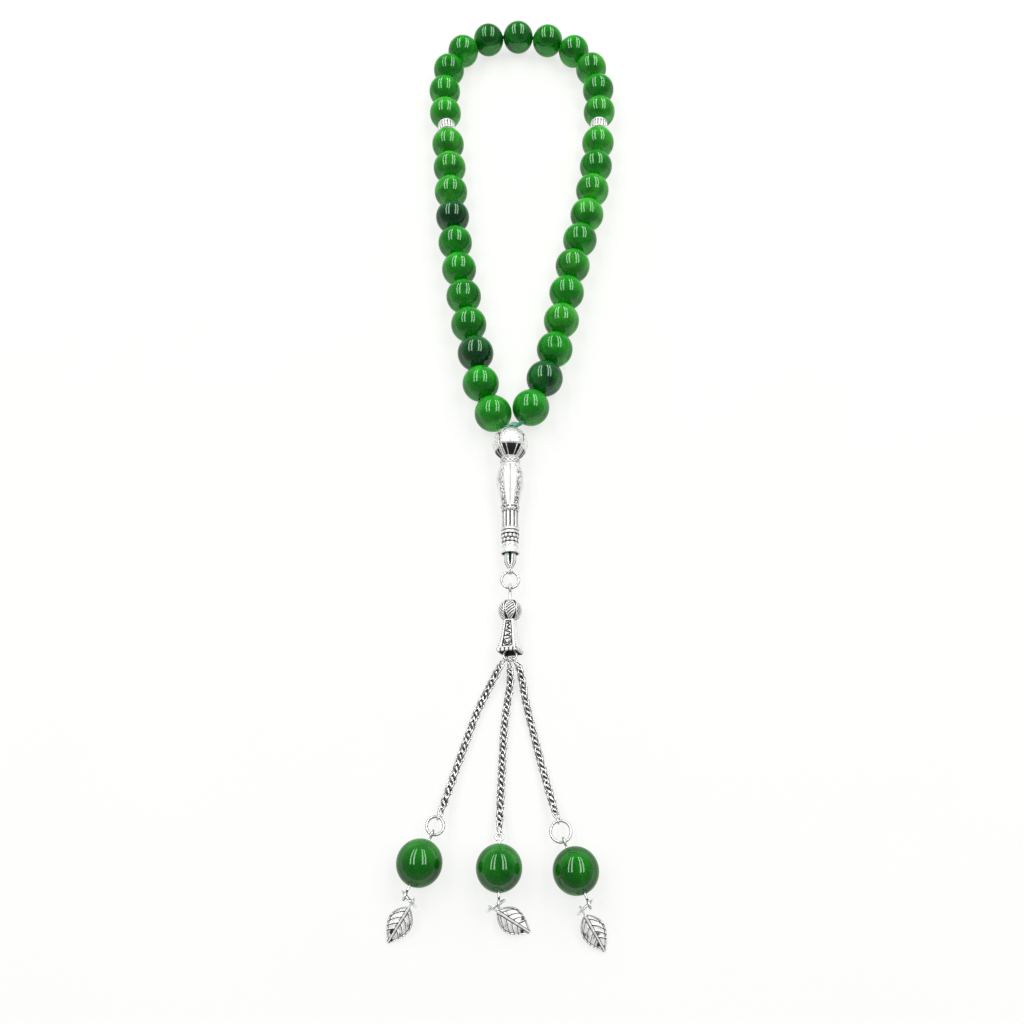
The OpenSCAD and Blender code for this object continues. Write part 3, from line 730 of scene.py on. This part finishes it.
prof = ball_arc(KNOT_R, KNOT_H, 0.07, 70) + [(KNOT_H, 0.9), (KNOT_H - 0.08, 0.45)]
prof += [((KNOT_H - 0.2) * (1 - i / 2), 0.44) for i in range(5)] + [(0.08 - KNOT_H, 0.45), (-KNOT_H, 0.9)]
knot_part = turned(prof, 240, at("knot_ball_spin"), basis(along("knot_ball_spin")), knot_relief, resampled=True)
build("knot_ball_wires", [knot_part], CAST, "knot_ball", "knot_ball")


# ---------------------------------------------------------------- tassel cap
# Strokes of the scrolls on a side panel, as (along, across) in mm
STROKES = [
    [(0.8, 0.3), (1.0, -0.25), (1.5, 0.3), (1.9, -0.3), (2.3, 0.2)],
    [(2.45, 0.5), (2.6, -0.2), (2.95, -0.5), (3.2, 0.0), (3.45, 0.5), (3.8, 0.4), (3.95, -0.2)],
    [(4.2, -0.75), (4.25, 0.0), (4.45, 0.6), (4.85, 0.6), (5.0, 0.0), (5.05, -0.6)],
    [(5.2, -0.85), (5.9, -0.9), (6.4, -0.55), (6.55, 0.0), (6.4, 0.55), (5.9, 0.9), (5.3, 0.85)],
    [(5.6, -0.5), (5.95, -0.45), (6.1, 0.0), (5.95, 0.45), (5.6, 0.4)],
]
SCROLL = [tuple(q[:2]) for st in STROKES for q in spline([Vector((x, y, 0)) for x, y in st], 0.09)]


CAP_LEN, CAP_TURN = 8.2, 20.0


def scroll_depth(x, y):
    return bump(min(math.hypot(x - px, y - py) for px, py in SCROLL) / 0.23)


def tassel_cap():
    o = at("tassel_cap_spin")
    m = basis(along("tassel_cap_spin")) @ Matrix.Rotation(math.radians(CAP_TURN), 3, "X")
    x0, length, rim = -CAP_LEN / 2, CAP_LEN, 0.9
    rows = [(x0, 0.43, "top"), (x0, 0.8, "top")]
    n = 84
    for i in range(n + 1):
        t = i / n
        x = x0 + (length - rim) * t
        half = 1.3 + (2.4 - 1.3) * (0.30 * t + 0.70 * t * t)
        rows.append((x, half - (0.06 if i == 0 else 0.0), "side"))
    for x, h in ((0.02, 2.5), (0.06, 2.56), (0.2, 2.6), (0.35, 2.6), (0.5, 2.6), (0.65, 2.6), (0.8, 2.57),
                 (0.9, 2.5)):
        rows.append((x0 + length - rim + x, h, "rim"))
    rows += [(x0 + s, h, "in") for s, h in ((length, 2.2), (length - 0.3, 2.08), (5.5, 1.35), (3, 0.95),
                                            (1.05, 0.75), (1.0, 0.43))]
    per = 56
    verts, rec = [], []
    for x, h, kind in rows:
        s = x - x0
        for side in range(4):
            for k in range(per):
                u = -1 + 2 * k / per
                y, z, q, back = u * h, h, 0.0, 0.0
                if h <= 0.45:
                    a = math.radians(45 * u)
                    # Round the top hole the cap is dark: painted shade.
                    y, z, q = h * math.sin(a), h * math.cos(a), 0.8
                corner = max(0.0, abs(u) - 0.9) / 0.1
                if h > 0.45:
                    z -= 0.10 * corner**2
                if kind == "side":
                    if side in (0, 2):
                        panel = 0.55 + 0.68 * min(1.0, s / 6.7)
                        inside = min(panel - abs(y), s - 0.45, 6.85 - s)
                        line = bump(inside / 0.2)
                        if inside > 0:
                            line = max(line, scroll_depth(s, y * (1 if side == 0 else -1)))
                            z -= 0.10
                        z -= 0.14 * line
                        q = line
                    tooth = bump((((s + 0.1) / 0.6) % 1.0 * 2 - 1) / 0.6) * bump((1 + u) / 0.2)
                    z -= 0.08 * tooth
                    q = max(q, 0.95 * tooth)
                elif kind == "rim":
                    tooth = abs(math.cos(math.pi * y / 1.04)) ** 0.7
                    z += -0.2 + 0.2 * tooth
                    back = 0.3 * (1 - tooth) * max(0.0, s - length + rim)
                    q = max(0.0, 1.0 - 1.25 * tooth) * 1.4 + (0.5 if s < length - rim + 0.08 else 0.0)
                elif kind == "in":
                    # The inside of the cap is dark: painted shade.
                    q = 0.7
                v = Vector((x - back, y, z))
                verts.append(o + m @ (Matrix.Rotation(-math.pi / 2 * side, 3, "X") @ v) * MM)
                rec.append(min(1.0, q))
    faces = grid_faces(len(rows), 4 * per, True, True)
    build("tassel_cap_scrolls", [(verts, faces, rec)], CAST, "tassel_cap", "tassel_cap")


tassel_cap()

# ---------------------------------------------------------------- chains
# Points of each chain from the ball's middle line at the tassel pin's eye, in mm
ROUTE = {
    "left": [(-2.3, -2.7, 2.8), (-3.9, -5.6, 1.8), (-6.1, -9.8, 0.97), (-7.9, -13.8, 0.97), (-9.8, -19.2, 0.97),
             (-11.8, -25, 0.97), (-13.6, -30.5, 1.7), (-15.15, -35.25, 2.7)],
    "middle": [(0, -3.5, 2.7), (0.1, -6.5, 1.7), (-0.5, -10.5, 0.97), (-1.1, -15, 0.97), (-1.5, -20.4, 0.97),
               (-1.8, -26.6, 0.97), (-2.1, -33.4, 1.5), (-2.3, -38.5, 2.6)],
    "right": [(2.1, -2.9, 2.8), (3, -6.4, 1.7), (3.7, -10.6, 0.97), (5.3, -17.5, 0.97), (7, -24.4, 0.97),
              (8.6, -30.5, 1.7), (10.1, -36, 2.8)],
}
# Headings of the first and the last link
FIRST_LINK = {"left": -130, "middle": -90, "right": -54}
LAST_LINK = {"left": -110, "middle": -90, "right": -75}
PITCH = 1.3
EYE_R, EYE_WIRE_R = 0.605, 0.225


def link_mesh(centre, m, turn, lean, length, width, wire, lift):
    pts = []
    q = m @ Matrix.Rotation(turn, 3, "X") @ Matrix.Rotation(lean, 3, "Z")
    for i in range(30):
        a = 2 * math.pi * i / 30
        pts.append(centre + q @ Vector((length / 2 * math.cos(a), width / 2 * math.sin(a),
                                        lift * math.sin(2 * a))) * MM)
    # Painted shade along each link's sides, partly patina.
    return tube(pts, wire * MM, 12, closed=True, dark=patina_and_side_shade(q @ UP, 1.0, 0.6, 0.86, centre, pts))


def chain(side):
    base = Vector((chain_eye.x, chain_eye.y, 0))
    far = heading(FIRST_LINK[side])
    first = chain_eye + far * CHAIN_EYE_R * MM
    run = [base + Vector(p) * MM for p in ROUTE[side]]
    end_dir = heading(LAST_LINK[side])
    if side == "middle":
        last = at("pendant_pin_middle_swing")
    else:
        last = Vector((*(run[-1] + end_dir * 1.9 * MM).xy, 3.279 * MM))
    path = spline([first + far * EYE_R * MM] + run + [last - end_dir * EYE_R * MM], 0.0002)
    steps = [0.0]
    for a, b in zip(path, path[1:]):
        steps.append(steps[-1] + (b - a).length)
    total = steps[-1]
    count = round((total - 0.9 * MM) / (PITCH * MM))
    pitch = total / (count + 0.35)
    parts, j = [], 0
    random.seed(FIRST_LINK[side])
    for i in range(count):
        s = (i + 0.68) * pitch
        while steps[j + 1] < s:
            j += 1
        c = path[j].lerp(path[j + 1], (s - steps[j]) / (steps[j + 1] - steps[j]))
        d = (path[min(j + 4, len(path) - 1)] - path[max(j - 4, 0)]).normalized()
        ends = min(1.0, min(i, count - 1 - i) / 2.0)
        tw = math.radians(27 if i % 2 else -22) + random.uniform(-0.15, 0.15)
        wide = 1.0 + 0.42 * ends
        parts.append(link_mesh(c, basis(d), tw, math.radians(17), pitch / MM + 1.05, wide, 0.22 + 0.025 * ends,
                               0.24 + 0.06 * ends))
    for c, d in ((first, far), (last, end_dir)):
        lateral = d.cross(UP).normalized()
        parts.append(tube(ring_path(c, lateral, EYE_R, 40, 4, 36), EYE_WIRE_R * MM, 10))
    # A dark twisted core inside the links, darkest in its grooves: painted shade that fills the gaps between the
    # links.
    parts.append(tube(path[8:-8], 0.62 * MM, 14, section=lambda i, a: 0.8 + 0.2 * math.cos(2 * a - i * 0.95),
                      dark=lambda i, out, a: 0.55 - 0.9 * math.cos(2 * a - i * 0.95)))
    build("chain_" + side + "_links", parts, LINKS, "chain_" + side, "chain_" + side)


for s in SIDES:
    chain(s)


# ---------------------------------------------------------------- leaves
LEAF_HEADING = {"left": -123, "middle": -30, "right": -59}
LEAF_START, LEAF_LEN, LEAF_WIDE, LEAF_THICK = 1.175, 8.6, 5.2, 0.30
TIP_HEIGHT = 0.5
VEINS = 4


def leaf_point(t, v, seed):
    """The blade at t along it (0 to 1) and v across it (-1 to 1): x, y, z in mm and how dark it is."""
    half = LEAF_WIDE / 2 * math.sin(math.pi * t**0.8) + 0.03
    x, y = LEAF_START + t * LEAF_LEN, v * half
    rib_half, inward = 0.36 - 0.14 * t, (1 - abs(v)) * half
    past = [x - (LEAF_START + 0.75 + 1.4 * n) - 0.42 * abs(y) - 0.26 * y * y for n in range(VEINS)]
    rib, rim, veins = bump(y / rib_half), bump(inward / 0.30), max(bump(d / 0.2) for d in past)
    solid = max(rib, 0.8 * veins, 0.9 * rim)
    fade = min(1.0, t / 0.06, (1 - t) / 0.05)
    curl = 0.16 * math.sin(math.pi * t) - 0.22 * v * v
    z = curl + 0.02 + fade * (0.26 * rib + 0.14 * veins + 0.10 * rim - 0.10 * (1 - solid))
    groove = max(bump((d - 0.22) / 0.13) for d in past) * min(1.0, abs(y) / 0.4)
    beside = max(bump((abs(y) - rib_half) / 0.10), bump((inward - 0.36) / 0.09), groove)
    patch = 0.5 + 0.5 * noise.noise(Vector((x * 0.8, y * 0.9 + seed, 0.0)))
    tone = clamp((patch - 0.5) * 3.0) * (0.2 + 0.8 * t)
    dark = max(1.25 * beside * (1 - rib), 1.1 * tone * (1 - solid), 0.8 * bump(inward / 0.10))
    return x, y, z, fade * dark


def leaf(side):
    o = at(f"leaf_{side}_swing")
    drop = math.asin((o.z / MM - TIP_HEIGHT) / (LEAF_START + LEAF_LEN))
    d = heading(LEAF_HEADING[side], -math.degrees(drop))
    lateral = d.cross(UP).normalized()
    m = Matrix((d, lateral * -1, lateral.cross(d))).transposed()
    rows, cols = 84, 64
    verts = []
    for i in range(rows + 1):
        top = [leaf_point(i / rows, -1 + 2 * k / cols, LEAF_HEADING[side]) for k in range(cols + 1)]
        # The underside is a little darker: painted shade.
        verts += top + [(x, y, z - LEAF_THICK, 0.2) for x, y, z, q in reversed(top)]
    w = 2 * (cols + 1)
    faces = grid_faces(rows + 1, w, False, True, flip=True)
    faces.append(tuple(range(w)))
    faces.append(tuple(reversed(range(rows * w, (rows + 1) * w))))
    blade = ([o + m @ Vector(v[:3]) * MM for v in verts], faces, [v[3] for v in verts])
    eye = tube(ring_path(o, lateral, 0.825, 0, 0.5, 36), EYE_WIRE_R * MM, 12)
    neck = tube([o + d * x * MM for x in (0.95, 1.2, 1.6, 2.4)], [r * MM for r in (0.26, 0.3, 0.28, 0.2)], 12)
    build("leaf_" + side + "_veined", [blade, eye, neck], LEAF, "leaf_" + side, "leaf_" + side)


for s in SIDES:
    leaf(s)

# ---------------------------------------------------------------- thread
THREAD_R, STRAND_X = 0.6, 0.645
ORDER = ([f"bead_{i:02d}_spin" for i in range(1, 12)] + ["spacer_left_spin"]
         + [f"bead_{i:02d}_spin" for i in range(12, 23)] + ["spacer_right_spin"]
         + [f"bead_{i:02d}_spin" for i in range(23, 34)])


def crossing(a, b):
    """Where the holes of two neighbours would meet."""
    p, u, q, v = at(a), along(a), at(b), along(b)
    det = u.x * v.y - u.y * v.x
    if abs(det) < 0.003:
        return (p + q) / 2
    t = ((q.x - p.x) * v.y - (q.y - p.y) * v.x) / det
    return p + u * t


def thread_route():
    corners = [at(ORDER[0]) - along(ORDER[0]) * 5.15 * MM]
    for a, b in zip(ORDER, ORDER[1:]):
        c = crossing(a, b)
        corners.append(c if (c - (at(a) + at(b)) / 2).length < 2.5 * MM else (at(a) + at(b)) / 2)
    corners.append(at(ORDER[-1]) + along(ORDER[-1]) * 5.05 * MM)
    lead, tip_dir = along("imame_ball_spin"), along("tip_swivel")
    top = at("imame_ball_spin") - lead * 5.05 * MM

    def strand(side):
        s = Vector((side * STRAND_X, 0, 0)) * MM
        return [at("tip_swivel") + tip_dir * 1.6 * MM + s * 0.9, at("tip_swivel") + s, top + s]

    return strand(-1) + corners + strand(1)[::-1]


def rounded(points, r):
    out = [points[0]]
    for a, b, c in zip(points, points[1:], points[2:]):
        ra = min(r, 0.45 * (b - a).length, 0.45 * (c - b).length)
        p, q = b + (a - b).normalized() * ra, b + (c - b).normalized() * ra
        for i in range(7):
            t = i / 6
            out.append(p * (1 - t) ** 2 + b * 2 * t * (1 - t) + q * t * t)
    out.append(points[-1])
    return out


line = resample(rounded(thread_route(), 1.2 * MM), 0.00045)
travel = [0.0]
for a, b in zip(line, line[1:]):
    travel.append(travel[-1] + (b - a).length)


def lay(i, a):
    return 0.90 + 0.10 * math.cos(3 * (a - travel[i] / (2.1 * MM) * 2 * math.pi / 3))


thread_parts = [tube(line, THREAD_R * MM, 14, section=lay)]

# The knot inside the bead tip
tip_o, tip_d = at("tip_swivel"), along("tip_swivel")
tip_m = basis(tip_d)
knot_parts = []
for turn in range(3):
    pts = []
    for i in range(40):
        a = 2 * math.pi * i / 40
        x = 1.05 + 0.45 * turn + 0.18 * math.sin(2 * a)
        pts.append(tip_o + tip_m @ Vector((x, 0.52 * math.sin(a), 0.52 * math.cos(a))) * MM)
    knot_parts.append(tube(pts, 0.42 * MM, 10, closed=True))
build("thread_knot", knot_parts, THREAD_DARK, "string", None)

# Stray strands where the two ends go into the leader's ball
random.seed(7)
lead = along("imame_ball_spin")
mouth = at("imame_ball_spin") - lead * 4.4 * MM
for side, first, sgn in ((-1, ORDER[0], -1), (1, ORDER[-1], 1)):
    goal = at(first) + along(first) * 4.7 * sgn * MM
    for i in range(9):
        s = mouth + Vector((side * random.uniform(0.1, 1.1), 0, random.uniform(-0.7, 0.75))) * MM
        e = goal + Vector((random.uniform(-0.5, 0.5), random.uniform(-0.4, 0.2), random.uniform(-0.45, 0.5))) * MM
        mid = s.lerp(e, 0.5) + Vector((side * random.uniform(-0.2, 0.3), random.uniform(-0.2, 0.2),
                                       random.uniform(-0.25, 0.35))) * MM
        strand_path = spline([s + lead * 0.6 * MM, s, mid, e], 0.00025)
        thread_parts.append(tube(strand_path, random.uniform(0.14, 0.2) * MM, 7))
build("stringing_thread", thread_parts, THREAD, "string", "stringing_cord")

# Worn fibres in the corner between the two ends
fluff = []
for i in range(14):
    y = random.uniform(0.55, 1.3)
    a = mouth + Vector((random.uniform(-1.2, 0.2), y - 0.1, random.uniform(-0.4, 0.6))) * MM
    b = mouth + Vector((random.uniform(0.9, 2.4), y + random.uniform(0.1, 0.9), random.uniform(-0.4, 0.6))) * MM
    top_mid = a.lerp(b, 0.5) + Vector((0, random.uniform(0.0, 0.45), random.uniform(-0.1, 0.3))) * MM
    fluff.append(tube(spline([a, top_mid, b], 0.0002), random.uniform(0.12, 0.2) * MM, 7))
build("thread_fibres", fluff, THREAD_PALE, "string", None)

# ---------------------------------------------------------------- floor, light
FLOOR_HALF = 1.2
# How much of the floor is plain white to the camera; the rest keeps the shadow
FLOOR_GLOW = 0.76
floor_mesh = bpy.data.meshes.new("table_top")
floor_mesh.from_pydata([(x * FLOOR_HALF, y * FLOOR_HALF, -0.00002) for x, y in ((-1, -1), (1, -1), (1, 1), (-1, 1))],
                       [], [(0, 1, 2, 3)])
floor = bpy.data.objects.new("table_top", floor_mesh)
bpy.context.collection.objects.link(floor)
fm, fn, fl, fb = new_material("table_white")
fb.inputs["Roughness"].default_value = 0.6
fnoise = noise_node(fn, fl, 30.0)
framp = ramp(fn, [(0.3, (0.93, 0.935, 0.93)), (0.7, (0.95, 0.955, 0.95))])
fl.new(fnoise.outputs["Fac"], framp.inputs["Fac"])
fl.new(framp.outputs["Color"], fb.inputs["Base Color"])


def seen_rays(nodes, links):
    """1 for the rays that show the background: camera, glossy and transmission."""
    path = nodes.new("ShaderNodeLightPath")
    out = path.outputs["Is Camera Ray"]
    for extra in ("Is Glossy Ray", "Is Transmission Ray"):
        top = nodes.new("ShaderNodeMath")
        top.operation = "MAXIMUM"
        links.new(out, top.inputs[0])
        links.new(path.outputs[extra], top.inputs[1])
        out = top.outputs[0]
    return out


share = fn.new("ShaderNodeMath")
share.operation = "MULTIPLY"
share.inputs[1].default_value = FLOOR_GLOW
fl.new(seen_rays(fn, fl), share.inputs[0])
glow = fn.new("ShaderNodeEmission")
glow.inputs["Strength"].default_value = 1.0
glow.inputs["Color"].default_value = (0.985, 0.99, 0.965, 1)
fmix = fn.new("ShaderNodeMixShader")
fl.new(share.outputs[0], fmix.inputs["Fac"])
fl.new(fb.outputs["BSDF"], fmix.inputs[1])
fl.new(glow.outputs["Emission"], fmix.inputs[2])
fl.new(fmix.outputs["Shader"], fn["Material Output"].inputs["Surface"])
floor_mesh.materials.append(fm)


LAMP_NEAR, LAMP_FAR, LAMP_HEIGHT, LAMP_RADIANCE = -0.35, 2.4, 1.2, 6.8


def tube_light(name, x, width):
    """A long lamp along Y over the table, which shines straight down."""
    light = bpy.data.lights.new(name, "AREA")
    light.shape = "RECTANGLE"
    light.size, light.size_y = width, LAMP_FAR - LAMP_NEAR
    light.energy = LAMP_RADIANCE * math.pi * width * (LAMP_FAR - LAMP_NEAR)
    ob = bpy.data.objects.new(name, light)
    bpy.context.collection.objects.link(ob)
    ob.location = START + Vector((x, (LAMP_NEAR + LAMP_FAR) / 2, LAMP_HEIGHT))


tube_light("lamp_left_outer", -0.98, 0.22)
tube_light("lamp_left_inner", -0.50, 0.19)
tube_light("lamp_right_inner", 0.46, 0.19)
tube_light("lamp_right_outer", 0.86, 0.22)

world = bpy.data.worlds.new("studio")
bpy.context.scene.world = world
world.use_nodes = True
wn, wl = world.node_tree.nodes, world.node_tree.links
bg = wn["Background"]
# A dark ceiling, pale walls
sky = wn.new("ShaderNodeTexCoord")
parts = wn.new("ShaderNodeSeparateXYZ")
wl.new(sky.outputs["Generated"], parts.inputs[0])
shade = ramp(wn, [(0.0, (0.5, 0.5, 0.49)), (0.2, (0.42, 0.43, 0.42)), (0.5, (0.2, 0.21, 0.2)),
                  (0.75, (0.16, 0.17, 0.165))])
wl.new(parts.outputs["Z"], shade.inputs["Fac"])
wl.new(shade.outputs["Color"], bg.inputs["Color"])
bg.inputs["Strength"].default_value = 1.0

bpy.context.scene.view_settings.view_transform = "Standard"
